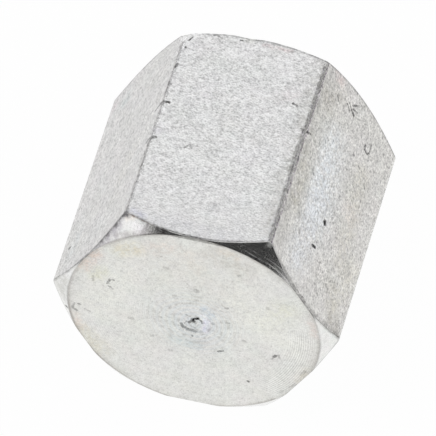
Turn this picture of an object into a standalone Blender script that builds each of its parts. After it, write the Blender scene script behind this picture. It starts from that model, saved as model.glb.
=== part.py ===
"""A hexagonal blanking cap for the outside thread of a pipe or fitting, turned from hexagon bar.

The cap lies on one flat of its hexagon, with its axis along Y. The closed face looks towards -Y and
the socket opens towards +Y. The origin is on the resting flat, under the middle of the cap.
Lengths are in metres and angles in degrees.
"""

import math

import bmesh
import bpy
from mathutils import Vector

# The hexagon bar and the length it is cut to
ACROSS_FLATS = 0.0190
LENGTH = 0.0200
EDGE_RADIUS = 0.0005  # along the six long edges, as the bar was drawn

# The turned ends: how far inside the flats each face's rim lies, and how far its chamfer leans back
CLOSED_RIM_INSET = 0.00003
CLOSED_CHAMFER_ANGLE = 36.5
OPEN_RIM_INSET = 0.00020
OPEN_CHAMFER_ANGLE = 30.0

# The socket, drilled, countersunk and tapped with a parallel pipe thread of Whitworth form
THREAD_MAJOR_DIAMETER = 0.013157
THREADS_PER_INCH = 19
RUNOUT = 0.0020  # over which the thread reaches its full depth, from near the drill's shoulder
FLOOR_THICKNESS = 0.0036  # between the closed face and the tip of the drill's point
DRILL_POINT_ANGLE = 118.0
COUNTERSINK_CLEARANCE = 0.00030  # of its rim outside the thread
COUNTERSINK_ANGLE = 45.0

INCH = 0.0254
WHITWORTH_ANGLE = 55.0
WHITWORTH_DEPTH = 0.640327  # of a full thread, as a share of its pitch
WHITWORTH_ROUNDING = 0.137329  # the radius of its roots, as a share of its pitch
GROOVE_OVERCUT = 0.10  # how far the thread's tool runs on past the bore's wall, as a share of the pitch

ROUND_STEPS = 144  # facets in a full turn of the turned ends
SOCKET_STEPS = 36  # facets in a full turn of the socket and its thread
EDGE_STEPS = 4  # facets across a rounded edge
OVERCUT = 0.0010  # how far a cutter runs on past the stock
WELD_DISTANCE = 0.000001  # within which a cut's doubled corners are merged
SHARP_ANGLE = 25.0

AXIS_HEIGHT = ACROSS_FLATS / 2
CORNER_RADIUS = ACROSS_FLATS / math.sqrt(3)
CLOSED_Y = -LENGTH / 2
MOUTH_Y = LENGTH / 2
PITCH = INCH / THREADS_PER_INCH
THREAD_RADIUS = THREAD_MAJOR_DIAMETER / 2
BORE_RADIUS = THREAD_RADIUS - WHITWORTH_DEPTH * PITCH


def slope(angle):
    """How far a line at this angle rises for each unit that it runs."""
    return math.tan(math.radians(angle))


def around_axis(angle, radius, y):
    """The point at this angle about the cap's axis, where an angle of 0 is straight up."""
    return Vector((radius * math.sin(angle), y, AXIS_HEIGHT + radius * math.cos(angle)))


def as_object(name, shape):
    """A new object that holds a bmesh, with its faces pointing outwards."""
    bmesh.ops.recalc_face_normals(shape, faces=shape.faces)
    mesh = bpy.data.meshes.new(name)
    shape.to_mesh(mesh)
    shape.free()
    made = bpy.data.objects.new(name, mesh)
    bpy.context.scene.collection.objects.link(made)
    return made


def hexagon_bar():
    """The bar, standing on a flat: a hexagon extruded along the axis, with its long edges rounded."""
    shape = bmesh.new()
    section = shape.faces.new(
        shape.verts.new(around_axis(math.radians(30 + 60 * corner), CORNER_RADIUS, CLOSED_Y))
        for corner in range(6)
    )
    grown = bmesh.ops.extrude_face_region(shape, geom=[section])["geom"]
    far_end = [item for item in grown if isinstance(item, bmesh.types.BMVert)]
    bmesh.ops.translate(shape, vec=(0, LENGTH, 0), verts=far_end)
    long_edges = [edge for edge in shape.edges if (edge.verts[0] in far_end) != (edge.verts[1] in far_end)]
    bmesh.ops.bevel(
        shape,
        geom=long_edges,
        offset=EDGE_RADIUS * slope(30),
        offset_type="OFFSET",
        segments=EDGE_STEPS,
        profile=0.5,
        affect="EDGES",
    )
    return as_object("hex_cap", shape)


def bridge(shape, near, far):
    """Joins two rings of vertices with faces, where a ring may be a single vertex."""
    steps = max(len(near), len(far))
    for step in range(steps):
        onward = (step + 1) % steps
        corners = [near[step % len(near)], near[onward % len(near)]]
        corners += [far[onward % len(far)], far[step % len(far)]]
        shape.faces.new(dict.fromkeys(corners))


def turned(name, outline, steps):
    """A solid of revolution: its outline runs from the axis back to the axis as (radius, y) points."""
    shape = bmesh.new()
    rings = []
    for radius, y in outline:
        angles = [math.tau * step / steps for step in range(steps if radius else 1)]
        rings.append([shape.verts.new(around_axis(angle, radius, y)) for angle in angles])
    for near, far in zip(rings, rings[1:]):
        bridge(shape, near, far)
    return as_object(name, shape)


def lathe_envelope():
    """What the lathe leaves of the bar: two flat faces with a cone behind each, and clear of it between."""
    clear_radius = CORNER_RADIUS + OVERCUT
    closed_rim = AXIS_HEIGHT - CLOSED_RIM_INSET
    open_rim = AXIS_HEIGHT - OPEN_RIM_INSET
    return turned(
        "lathe_envelope",
        [
            (0, CLOSED_Y),
            (closed_rim, CLOSED_Y),
            (clear_radius, CLOSED_Y + (clear_radius - closed_rim) * slope(CLOSED_CHAMFER_ANGLE)),
            (clear_radius, MOUTH_Y - (clear_radius - open_rim) * slope(OPEN_CHAMFER_ANGLE)),
            (open_rim, MOUTH_Y),
            (0, MOUTH_Y),
        ],
        ROUND_STEPS,
    )


def socket_bottom():
    """Where the drill's point ends, and where its shoulder meets the bore."""
    tip_y = CLOSED_Y + FLOOR_THICKNESS
    return tip_y, tip_y + BORE_RADIUS / slope(DRILL_POINT_ANGLE / 2)


def drilled_socket():
    """The hole as it is before threading: the drill's point, the bore and the countersink."""
    tip_y, shoulder_y = socket_bottom()
    mouth_radius = THREAD_RADIUS + COUNTERSINK_CLEARANCE
    return turned(
        "drilled_socket",
        [
            (0, tip_y),
            (BORE_RADIUS, shoulder_y),
            (BORE_RADIUS, MOUTH_Y - (mouth_radius - BORE_RADIUS) * slope(COUNTERSINK_ANGLE)),
            (mouth_radius + OVERCUT / slope(COUNTERSINK_ANGLE), MOUTH_Y + OVERCUT),
            (0, MOUTH_Y + OVERCUT),
        ],
        SOCKET_STEPS,
    )


def groove_profile():
    """The tapping tool's tooth as (radius, y) points about its own middle, from flank to flank."""
    rounding = WHITWORTH_ROUNDING * PITCH
    flank = math.radians(WHITWORTH_ANGLE / 2)
    arc_run = rounding * math.cos(flank)
    arc_radius = THREAD_RADIUS - rounding * (1 - math.sin(flank))
    inner_radius = BORE_RADIUS - GROOVE_OVERCUT * PITCH
    inner_run = arc_run + (arc_radius - inner_radius) * math.tan(flank)
    return [
        (inner_radius, -inner_run),
        (arc_radius, -arc_run),
        (THREAD_RADIUS, 0),
        (arc_radius, arc_run),
        (inner_radius, inner_run),
    ]


def thread_groove():
    """The groove that the tap cuts: its tooth wound along the bore, right-handed, from clear of the
    wall near the shoulder, through its full depth past the runout, to a pitch outside the mouth."""
    reach = THREAD_RADIUS - BORE_RADIUS + GROOVE_OVERCUT * PITCH
    start_y = socket_bottom()[1] + PITCH / 2
    steps = math.ceil((MOUTH_Y + PITCH - start_y) / PITCH * SOCKET_STEPS)
    shape = bmesh.new()
    rings = []
    for step in range(steps + 1):
        angle = math.tau * step / SOCKET_STEPS
        y = start_y + PITCH * step / SOCKET_STEPS
        drawn_in = reach * max(0, 1 - (y - start_y) / RUNOUT)
        rings.append([
            shape.verts.new(around_axis(angle, radius - drawn_in, y + offset))
            for radius, offset in groove_profile()
        ])
    for near, far in zip(rings, rings[1:]):
        bridge(shape, near, far)
    shape.faces.new(rings[0])
    shape.faces.new(rings[-1])
    return as_object("thread_groove", shape)


def cut(body, operation, tool):
    """Keeps what body shares with tool, or takes tool away from it, welds it and clears the tool away."""
    boolean = body.modifiers.new(tool.name, "BOOLEAN")
    boolean.operation = operation
    boolean.solver = "EXACT"
    boolean.object = tool
    shape = bmesh.new()
    shape.from_object(body, bpy.context.evaluated_depsgraph_get())
    bmesh.ops.remove_doubles(shape, verts=shape.verts, dist=WELD_DISTANCE)
    bmesh.ops.dissolve_degenerate(shape, edges=shape.edges, dist=WELD_DISTANCE)
    body.modifiers.clear()
    shape.to_mesh(body.data)
    shape.free()
    bpy.data.objects.remove(tool)


def zinc_plate():
    """Dull bright zinc on steel."""
    plate = bpy.data.materials.new("zinc_plate")
    plate.use_nodes = True
    shader = plate.node_tree.nodes["Principled BSDF"]
    shader.inputs["Base Color"].default_value = (0.74, 0.74, 0.73, 1)
    shader.inputs["Metallic"].default_value = 0.9
    shader.inputs["Roughness"].default_value = 0.5
    return plate


def main():
    for old in list(bpy.data.objects):
        bpy.data.objects.remove(old)
    cap = hexagon_bar()
    cut(cap, "INTERSECT", lathe_envelope())
    cut(cap, "DIFFERENCE", drilled_socket())
    cut(cap, "DIFFERENCE", thread_groove())
    cap.data.materials.clear()
    cap.data.materials.append(zinc_plate())
    cap.data.shade_smooth()
    cap.data.set_sharp_from_angle(angle=math.radians(SHARP_ANGLE))


main()
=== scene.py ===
import math
from functools import partial

import bpy
from mathutils import Matrix, Vector


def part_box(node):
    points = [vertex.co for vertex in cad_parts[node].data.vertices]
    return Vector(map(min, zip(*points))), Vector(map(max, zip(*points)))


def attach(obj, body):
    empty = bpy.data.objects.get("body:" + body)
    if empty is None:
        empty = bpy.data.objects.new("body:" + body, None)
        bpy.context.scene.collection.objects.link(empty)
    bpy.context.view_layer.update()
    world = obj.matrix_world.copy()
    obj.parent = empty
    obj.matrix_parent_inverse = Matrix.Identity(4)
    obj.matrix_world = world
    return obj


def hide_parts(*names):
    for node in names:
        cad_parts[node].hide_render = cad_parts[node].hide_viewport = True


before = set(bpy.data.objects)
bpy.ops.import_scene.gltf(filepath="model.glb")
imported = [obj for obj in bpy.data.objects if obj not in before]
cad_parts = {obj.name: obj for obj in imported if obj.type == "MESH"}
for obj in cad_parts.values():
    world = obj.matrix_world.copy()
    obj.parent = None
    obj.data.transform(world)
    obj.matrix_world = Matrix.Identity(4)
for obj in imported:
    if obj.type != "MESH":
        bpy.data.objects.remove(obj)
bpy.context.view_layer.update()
lowCorner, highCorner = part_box("hex_cap")
axisHeight = (lowCorner.z + highCorner.z) / 2
mm = 0.001
print("frame loaded")


# Node formulas: a Wire is one output in a node tree, and sums written with it become Math nodes

class Wire:
    def __init__(self, socket):
        self.socket = socket
        self.tree = socket.id_data

    def __add__(self, other):
        return maths("ADD", self, other)

    def __sub__(self, other):
        return maths("SUBTRACT", self, other)

    def __rsub__(self, other):
        return maths("SUBTRACT", other, self)

    def __mul__(self, other):
        return maths("MULTIPLY", self, other)

    def __truediv__(self, other):
        return maths("DIVIDE", self, other)

    def __rtruediv__(self, other):
        return maths("DIVIDE", other, self)

    def __neg__(self):
        return maths("SUBTRACT", 0, self)

    __radd__ = __add__
    __rmul__ = __mul__


def plug(socket, value):
    if isinstance(value, Wire):
        socket.id_data.links.new(value.socket, socket)
    else:
        socket.default_value = value


def put(tree, kind, inputs=None, **settings):
    node = tree.nodes.new(kind)
    for name, value in settings.items():
        setattr(node, name, value)
    for place, value in (inputs or {}).items():
        plug(node.inputs[place], value)
    return node


def treeOf(values):
    return next(value.tree for value in values if isinstance(value, Wire))


def maths(operation, *terms):
    return Wire(put(treeOf(terms), "ShaderNodeMath", dict(enumerate(terms)), operation=operation).outputs[0])


def vectors(operation, *terms, output="Vector"):
    node = put(treeOf(terms), "ShaderNodeVectorMath", dict(enumerate(terms)), operation=operation)
    return Wire(node.outputs[output])


def sine(angle):
    return maths("SINE", angle)


def cosine(angle):
    return maths("COSINE", angle)


def least(first, second):
    return maths("MINIMUM", first, second)


def most(first, second):
    return maths("MAXIMUM", first, second)


def clamped(value, low, high):
    return most(least(value, high), low)


def ramp(value, low, high, first=0, last=1):  # a smooth step from first, at low, to last, at high
    inputs = {"Value": value, "From Min": low, "From Max": high, "To Min": first, "To Max": last}
    node = put(treeOf((value,)), "ShaderNodeMapRange", inputs, interpolation_type="SMOOTHSTEP")
    return Wire(node.outputs["Result"])


def combined(tree, x, y, z):
    return Wire(put(tree, "ShaderNodeCombineXYZ", {"X": x, "Y": y, "Z": z}).outputs["Vector"])


def separated(vector):
    node = put(vector.tree, "ShaderNodeSeparateXYZ", {"Vector": vector})
    return [Wire(output) for output in node.outputs]


def scaled(vector, factor):
    tree = treeOf((vector, factor))
    return Wire(put(tree, "ShaderNodeVectorMath", {0: vector, "Scale": factor}, operation="SCALE").outputs[0])


def noise(vector, size, detail=2.0, roughness=0.5, output="Fac"):
    inputs = {"Vector": vector, "Scale": 1 / size, "Detail": detail, "Roughness": roughness}
    return Wire(put(vector.tree, "ShaderNodeTexNoise", inputs).outputs[output])


def blended(share, first, second, mode="MIX"):
    node = put(treeOf((share, first, second)), "ShaderNodeMix", data_type="RGBA", blend_type=mode)
    colours = [socket for socket in node.inputs if socket.type == "RGBA"]
    plug(node.inputs[0], share)
    plug(colours[0], first)
    plug(colours[1], second)
    return Wire(next(socket for socket in node.outputs if socket.type == "RGBA"))


def grey(value):
    return (value, value, value, 1)


def paint(red, green, blue):  # sRGB values up to 255 as a linear colour
    return tuple(((value / 255 + 0.055) / 1.055) ** 2.4 for value in (red, green, blue)) + (1,)


def arrange(tree):  # sets the nodes out in columns, in the order in which they were made
    rows, across, down = 14, 220, -190
    for place, node in enumerate(tree.nodes):
        node.location = (across * (place // rows), down * (place % rows))


def added(name, data):  # a new object in the scene
    made = bpy.data.objects.new(name, data)
    bpy.context.scene.collection.objects.link(made)
    return made


# Places on the cap

def onFlat(turn, across, along):  # turn in degrees from the top flat, across and along it in mm
    angle = math.radians(turn)
    outwards = Vector((math.sin(angle), 0, math.cos(angle)))
    sideways = Vector((math.cos(angle), 0, -math.sin(angle)))
    reach = highCorner.z - axisHeight
    return Vector((0, along * mm, axisHeight)) + outwards * reach + sideways * across * mm


def onFace(across, up):  # on the closed face, in mm from the axis
    return Vector((across * mm, lowCorner.y, axisHeight + up * mm))


# The cap's shape

flatCount = 6
flatsToTop = 3  # from the bottom flat, where the grid's columns start
halfFlat = math.radians(30)  # from the middle of a flat to its corner

capSizes = {
    "Across flats": highCorner.z - lowCorner.z,
    "Length": highCorner.y - lowCorner.y,
    "Edge radius": 0.5 * mm,
    "Closed rim radius": 9.56 * mm,
    "Rim offset across": 0.062 * mm,  # the closed end was turned a little off the bar's axis
    "Rim offset up": -0.109 * mm,
    "Closed chamfer": math.radians(37.4),
    "Open rim radius": 9.3 * mm,
    "Open chamfer": math.radians(30),
    "Mouth radius": 6.8785 * mm,
    "Countersink": math.radians(45),
    "Thread radius": 6.5785 * mm,
    "Bore radius": 5.7225 * mm,
    "Pitch": 25.4 / 19 * mm,  # 19 threads to the inch
    "Runout": 2.0 * mm,
    "Shoulder": -2.96 * mm,
    "Drill tip": -6.4 * mm,
    "Corner softness": 0.1 * mm,
}

capGrid = {
    "columns in a flat": 64,
    "flat's share of them": 0.875,
    "columns merged at the pip": 4,
    "columns merged at the mouth": 2,
    "rows to the pip's edge": 36,
    "rows of the closed face": 30,
    "rows of a soft corner": 4,
    "rows of a chamfer": 8,
    "rows along a flat": 108,
    "rows of the open face": 8,
    "rows in a thread's pitch": 12,
    "rows of the drill's point": 12,
    "spare pitches": 2,
    "pip's edge": 2.0 * mm,
    "smallest chamfer": 0.02 * mm,
    "soft share of a chamfer": 0.45,
    "weld distance": 1e-7,
}

dents = {  # turn in degrees from the top flat, then across, along, radius and depth in mm
    "nick in the right edge": (0, 5.45, 2.0, 0.45, 0.07),
    "first nick in the left edge": (0, -5.42, 5.66, 0.4, 0.05),
    "second nick in the left edge": (0, -5.42, 3.84, 0.35, 0.04),
    "third nick in the left edge": (0, -5.42, 2.1, 0.4, 0.06),
    "fourth nick in the left edge": (0, -5.42, -1.4, 0.4, 0.05),
    "fifth nick in the left edge": (0, -5.42, -2.1, 0.35, 0.03),
    "knock on the right flat": (60, -1.3, 8.2, 0.55, 0.04),
    "pit on the right flat": (60, -0.19, -2.5, 0.3, 0.05),
    "small pit on the right flat": (60, -0.67, -5.14, 0.25, 0.03),
    "knock at the mouth": (0, -0.7, 9.95, 1.4, 0.13),
    "burr at the mouth": (0, -2.7, 9.7, 0.35, -0.015),
    "knock on the lower left edge": (-120, -5.42, -4.4, 0.45, 0.05),
}

facet = {  # the corner that was knocked flat near the mouth, angles in degrees
    "turn": -30,
    "along": 8.6 * mm,
    "depth": 0.12 * mm,
    "lean": 14,
    "corner's rounding": 0.155,  # how far its edge stays short of a sharp corner, as a share of its radius
}

pip = {  # what the parting tool left in the middle of the closed face, with its swirl
    "across": 0.10 * mm,
    "up": -0.35 * mm,
    "radius": 0.5 * mm,
    "top": 0.12 * mm,
    "height": 0.15 * mm,
    "swirl radii": (1.3 * mm, 1.72 * mm),
    "swirl depths": (0.05 * mm, 0.025 * mm),
    "swirl width": 0.17 * mm,
    "swirl's middle": (-0.5, -0.87),
    "swirl's spread": (0.3, 1.0),
    "swirl's start": 1.0 * mm,
    "tolerance": 0.01 * mm,  # within which a point lies on the closed face
}

cornerLines = {  # the reach of the thin dark lines where faces meet: painted shade for the dark that the rounded corners reflect
    "closed rim": 0.085 * mm,
    "arcs at the closed end": 0.17 * mm,
    "arcs at the mouth": 0.17 * mm,
}

waviness = {"size": 3.0 * mm, "depth": 0.012 * mm}


# The rows of a patch run along the cap's outline and its columns run round the axis

def softRamp(distance, width):  # nothing before a corner, the distance itself after it, a curve between
    half = width / 2
    inside = clamped(distance + half, 0, width)
    return inside * inside / (2 * width) + most(distance - half, 0)


def softPath(start, legs, along, softness):  # a line of straight legs with softened corners
    radius, y = start
    reached, before = 0, (0, 0)
    for direction, length in legs:
        run = softRamp(along - reached, softness) if reached else along
        radius = radius + (direction[0] - before[0]) * run
        y = y + (direction[1] - before[1]) * run
        reached, before = reached + length, direction
    return radius, y


def spreadRows(row, stretches):  # how far along the path each row lies, and the row that ends each stretch
    along, ends = 0, [0]
    for count, length in stretches:
        along = along + clamped((row - ends[-1]) / count, 0, 1) * length
        ends.append(ends[-1] + count)
    return along, ends


def snapped(column, step):
    return maths("FLOOR", column / step + 0.5) * step


def barOutline(column, size):  # the angle and radius of the bar's rounded hexagon at each column
    turn = column / capGrid["columns in a flat"]
    flat = maths("FLOOR", turn)
    across = (turn - flat) * 2 - 1
    side = maths("ABSOLUTE", across)
    share = capGrid["flat's share of them"]
    bend = most(side - share, 0) / (1 - share) * halfFlat
    inner = size["Across flats"] / 2 - size["Edge radius"]
    reach = inner * math.tan(halfFlat) * least(side / share, 1) + size["Edge radius"] * sine(bend)
    rise = inner + size["Edge radius"] * cosine(bend)
    lean = maths("ARCTANGENT", reach / rise) * maths("SIGN", across)
    angle = (flat - flatsToTop) * (2 * halfFlat) + lean
    return angle, maths("SQRT", reach * reach + rise * rise), bend / halfFlat


def gridPatch(tree, columns, rows):
    grid = put(tree, "GeometryNodeMeshGrid", {"Vertices X": columns + 1, "Vertices Y": rows + 1})
    index = Wire(put(tree, "GeometryNodeInputIndex").outputs[0])
    column = maths("FLOOR", (index + 0.5) / (rows + 1))
    return Wire(grid.outputs["Mesh"]), column, index - column * (rows + 1)


def placePatch(tree, mesh, angle, radius, y, size):
    middle = size["Across flats"] / 2
    place = combined(tree, radius * sine(angle), y, middle + radius * cosine(angle))
    return Wire(put(tree, "GeometryNodeSetPosition", {"Geometry": mesh, "Position": place}).outputs[0])


def moved(tree, mesh, shift):
    return Wire(put(tree, "GeometryNodeSetPosition", {"Geometry": mesh, "Offset": shift}).outputs[0])


def finished(tree, mesh, zone, edgeShare=0, cornerShadeLine=0):  # what the materials read from the mesh
    for name, value in (("finishZone", zone), ("edgeShare", edgeShare), ("cornerShadeLine", cornerShadeLine)):
        inputs = {"Geometry": mesh, "Name": name, "Value": value}
        node = put(tree, "GeometryNodeStoreNamedAttribute", inputs, data_type="FLOAT", domain="POINT")
        mesh = Wire(node.outputs[0])
    return mesh


def outsidePatch(tree, size):  # from the middle of the closed face along the flats and into the mouth
    grid = capGrid
    corner, slant = grid["rows of a soft corner"], grid["rows of a chamfer"]
    counts = [grid["rows to the pip's edge"], grid["rows of the closed face"], corner, slant, corner]
    counts += [grid["rows along a flat"], corner, slant, corner, grid["rows of the open face"], corner, 1]
    mesh, column, row = gridPatch(tree, flatCount * grid["columns in a flat"], sum(counts))

    nearPip = maths("LESS_THAN", row, counts[0])
    nearMouth = maths("GREATER_THAN", row, sum(counts[:-3]) + 1)
    column = column + (snapped(column, grid["columns merged at the pip"]) - column) * nearPip
    column = column + (snapped(column, grid["columns merged at the mouth"]) - column) * nearMouth
    angle, bar, edgeShare = barOutline(column, size)

    closedRim = size["Closed rim radius"]
    closedRim = closedRim + size["Rim offset across"] * sine(angle) + size["Rim offset up"] * cosine(angle)
    closedRim = least(closedRim, bar - grid["smallest chamfer"])
    closedTurn, openTurn, sink = size["Closed chamfer"], size["Open chamfer"], size["Countersink"]
    closedSlant = (bar - closedRim) / cosine(closedTurn)
    openSlant = (bar - size["Open rim radius"]) / cosine(openTurn)
    side = size["Length"] - closedSlant * sine(closedTurn) - openSlant * sine(openTurn)
    openFace = size["Open rim radius"] - size["Mouth radius"]

    soft = size["Corner softness"]
    half = soft / 2
    closedHalf = least(half, closedSlant * grid["soft share of a chamfer"])
    openHalf = least(half, openSlant * grid["soft share of a chamfer"])
    lengths = [grid["pip's edge"], closedRim - half - grid["pip's edge"]]
    lengths += [half + closedHalf, closedSlant - 2 * closedHalf, closedHalf + half, side - soft]
    lengths += [half + openHalf, openSlant - 2 * openHalf, openHalf + half, openFace - soft, soft, half]
    along, ends = spreadRows(row, list(zip(counts, lengths)))
    legs = [
        ((1, 0), closedRim),
        ((cosine(closedTurn), sine(closedTurn)), closedSlant),
        ((0, 1), side),
        ((-cosine(openTurn), sine(openTurn)), openSlant),
        ((-1, 0), openFace),
        ((-cosine(sink), -sine(sink)), soft),
    ]
    radius, y = softPath((0, -(size["Length"] / 2)), legs, along, soft)

    zone, line = 0, 0
    for start in ends[2:11:2]:  # the finish changes in the middle of each soft corner
        zone = zone + maths("GREATER_THAN", row, start + corner // 2)
    # line: painted shade along the corners where faces meet
    corners = (closedRim, closedRim + closedSlant, closedRim + closedSlant + side)
    for place, reach in zip(corners, cornerLines.values()):
        line = ramp(maths("ABSOLUTE", along - place), reach, 0) + line
    mesh = finished(tree, mesh, zone, edgeShare, line)
    return placePatch(tree, mesh, angle, radius, y, size)


def pipRelief(x, z):  # how far the closed face stands out or in near its middle
    away = maths("SQRT", (x - pip["across"]) * (x - pip["across"]) + (z - pip["up"]) * (z - pip["up"]))
    relief = ramp(away, pip["top"], pip["radius"], pip["height"], 0)
    reach = maths("SQRT", x * x + z * z)
    middle = pip["swirl's middle"]
    sector = ramp((x * middle[0] + z * middle[1]) / most(reach, pip["swirl's start"]), *pip["swirl's spread"])
    for radius, depth in zip(pip["swirl radii"], pip["swirl depths"]):
        relief = relief - ramp(maths("ABSOLUTE", reach - radius), pip["swirl width"], 0) * sector * depth
    return relief


def wornPatch(tree, mesh, size):  # adds the dents, the knocked corner and the pip
    position = Wire(put(tree, "GeometryNodeInputPosition").outputs[0])
    x, y, z = separated(position)
    z = z - size["Across flats"] / 2
    pushed = 0
    for turn, across, along, radius, depth in dents.values():
        distance = vectors("DISTANCE", position, onFlat(turn, across, along), output="Value")
        pushed = ramp(distance, radius * mm, 0, 0, depth * mm) + pushed
    inwards = vectors("NORMALIZE", combined(tree, -x, 0, -z))
    shift = scaled(inwards, pushed)

    turn, lean = math.radians(facet["turn"]), math.radians(facet["lean"])
    outwards = Vector((math.sin(turn) * math.cos(lean), math.sin(lean), math.cos(turn) * math.cos(lean)))
    reach = capSizes["Across flats"] / 2 / math.cos(halfFlat)
    reach = reach - capSizes["Edge radius"] * facet["corner's rounding"]
    corner = Vector((math.sin(turn) * reach, facet["along"], axisHeight + math.cos(turn) * reach))
    beyond = vectors("DOT_PRODUCT", vectors("SUBTRACT", position, corner), outwards, output="Value")
    shift = vectors("ADD", shift, scaled(outwards, -most(beyond + facet["depth"], 0)))

    onEnd = maths("LESS_THAN", y, pip["tolerance"] - size["Length"] / 2)
    shift = vectors("ADD", shift, combined(tree, 0, -(pipRelief(x, z) * onEnd), 0))
    return moved(tree, mesh, shift)


def wavyPatch(tree, mesh):  # no face of the real one is quite flat: it sinks a little here and there
    position = Wire(put(tree, "GeometryNodeInputPosition").outputs[0])
    normal = Wire(put(tree, "GeometryNodeInputNormal").outputs[0])
    sunk = noise(position, waviness["size"], detail=1.0) * waviness["depth"]
    return moved(tree, mesh, scaled(normal, -sunk))


threadZone = 5  # the number of its finish

threadForm = {  # shares of a pitch, apart from the flank's steepness and the softness of its ends
    "crest": 0.4167,
    "flank": 3.0,
    "root softness": 0.3,
    "crest softness": 0.1,
    "overcut": 0.1,
    "first root": 0.5,
    "seam": -210 / 360,  # where the grid's columns start, in turns from the top
}


def threadRadius(phase, y, size):  # phase counts pitches along the helix from a root
    offRoot = maths("PINGPONG", phase, 0.5)
    rise = (threadForm["crest"] - offRoot) * threadForm["flank"]
    rise = maths("SMOOTH_MIN", rise, 1, threadForm["root softness"])
    rise = maths("SMOOTH_MAX", rise, 0, threadForm["crest softness"])
    reach = size["Thread radius"] - size["Bore radius"]
    begun = (y - size["Shoulder"] - size["Pitch"] * threadForm["first root"]) / size["Runout"]
    drawnIn = (reach + size["Pitch"] * threadForm["overcut"]) * (1 - clamped(begun, 0, 1))
    return size["Bore radius"] + most(reach * rise - drawnIn, 0)


def socketPatch(tree, size):  # from the mouth along the thread to the tip of the drill's point
    pitchRows, pointRows = capGrid["rows in a thread's pitch"], capGrid["rows of the drill's point"]
    depth = capSizes["Length"] / 2 - capSizes["Shoulder"]
    threadRows = (math.ceil(depth / capSizes["Pitch"]) + capGrid["spare pitches"]) * pitchRows
    merged = capGrid["columns merged at the mouth"]
    columns = flatCount * capGrid["columns in a flat"] // merged
    mesh, column, row = gridPatch(tree, columns, threadRows + pointRows)
    angle = barOutline(column * merged, size)[0]

    start = size["Length"] / 2 - size["Corner softness"] * sine(size["Countersink"])
    firstRoot = size["Shoulder"] + size["Pitch"] * (threadForm["first root"] + angle / math.tau)
    seamRoot = size["Shoulder"] + size["Pitch"] * (threadForm["first root"] + threadForm["seam"])
    pitches = maths("CEIL", (start - seamRoot) / size["Pitch"])
    y = clamped(firstRoot + size["Pitch"] * (pitches - row / pitchRows), size["Shoulder"], start)
    threaded = threadRadius(row / pitchRows, y, size)
    sunk = size["Mouth radius"] - (size["Length"] / 2 - y) * maths("TANGENT", size["Countersink"])
    drilled = clamped((row - threadRows) / pointRows, 0, 1)
    radius = most(threaded, sunk) * (1 - drilled)
    y = y + (size["Drill tip"] - size["Shoulder"]) * drilled
    return placePatch(tree, finished(tree, mesh, threadZone), angle, radius, y, size)


def capTree(materials):
    tree = bpy.data.node_groups.new("hexCap", "GeometryNodeTree")
    for name in capSizes:
        tree.interface.new_socket(name, in_out="INPUT", socket_type="NodeSocketFloat")
    tree.interface.new_socket("Cap", in_out="OUTPUT", socket_type="NodeSocketGeometry")
    given = put(tree, "NodeGroupInput")
    size = {name: Wire(given.outputs[name]) for name in capSizes}

    outside = wornPatch(tree, outsidePatch(tree, size), size)
    socket = socketPatch(tree, size)
    joined = put(tree, "GeometryNodeJoinGeometry")
    plug(joined.inputs[0], outside)
    plug(joined.inputs[0], socket)
    inputs = {"Geometry": Wire(joined.outputs[0]), "Distance": capGrid["weld distance"]}
    welded = put(tree, "GeometryNodeMergeByDistance", inputs)
    wavy = wavyPatch(tree, Wire(welded.outputs[0]))
    smooth = put(tree, "GeometryNodeSetShadeSmooth", {"Geometry": wavy})
    last = put(tree, "GeometryNodeRealizeInstances", {"Geometry": Wire(smooth.outputs[0])})
    zone = put(tree, "GeometryNodeInputNamedAttribute", {"Name": "finishZone"}, data_type="FLOAT")
    zoneValue = Wire(zone.outputs["Attribute"])
    for start, material in enumerate(materials):  # each takes what lies beyond the one before it
        chosen = maths("GREATER_THAN", zoneValue, start - 0.5)
        inputs = {"Geometry": Wire(last.outputs[0]), "Selection": chosen, "Material": material}
        last = put(tree, "GeometryNodeSetMaterial", inputs)
    result = put(tree, "NodeGroupOutput")
    plug(result.inputs["Cap"], Wire(last.outputs[0]))
    arrange(tree)
    return tree


def makeCap(materials):
    tree = capTree(materials)
    cap = added("plated_cap", bpy.data.meshes.new("plated_cap"))
    modifier = cap.modifiers.new("hexCap", "NODES")
    modifier.node_group = tree
    for item in tree.interface.items_tree:
        if item.in_out == "INPUT":
            modifier[item.identifier] = capSizes[item.name]
    built = cap.evaluated_get(bpy.context.evaluated_depsgraph_get())
    cap.data = bpy.data.meshes.new_from_object(built)
    cap.modifiers.clear()
    cap.data.name = cap.name
    if not cap.data.materials[0]:
        cap.data.materials.pop(index=0)
    return cap


# Effects that the finishes share

noiseMiddle = 0.5
greyMiddle = Vector((noiseMiddle, noiseMiddle, noiseMiddle))

grainForm = {  # broad, medium and fine grain make up a pebbled surface
    "medium's shift": Vector((0.021, 0.013, 0.007)),
    "fine's shift": Vector((0.013, 0.007, 0.021)),
    "medium's size": 2.2,  # over that of the fine grain
    "shares": (0.2, 0.3, 0.5),
    "pits": (0.46, 0.36),
    "tops": (0.54, 0.64),
}

speckCore = 0.4
wanderSize = 2.5 * mm


def nodeGroup(name, rule, **values):  # a shader group, from a function of its inputs that gives its outputs
    tree = bpy.data.node_groups.new(name, "ShaderNodeTree")
    inputs = {"Vector": Vector(), **values}
    for label, value in inputs.items():
        kind = "NodeSocketVector" if isinstance(value, Vector) else "NodeSocketFloat"
        tree.interface.new_socket(label, in_out="INPUT", socket_type=kind).default_value = value
    given = put(tree, "NodeGroupInput")
    results = rule(*(Wire(given.outputs[label]) for label in inputs))
    kinds = {"VALUE": "NodeSocketFloat", "RGBA": "NodeSocketColor", "VECTOR": "NodeSocketVector"}
    for label, result in results.items():
        tree.interface.new_socket(label, in_out="OUTPUT", socket_type=kinds[result.socket.type])
    put(tree, "NodeGroupOutput", results)
    arrange(tree)
    return tree


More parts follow.
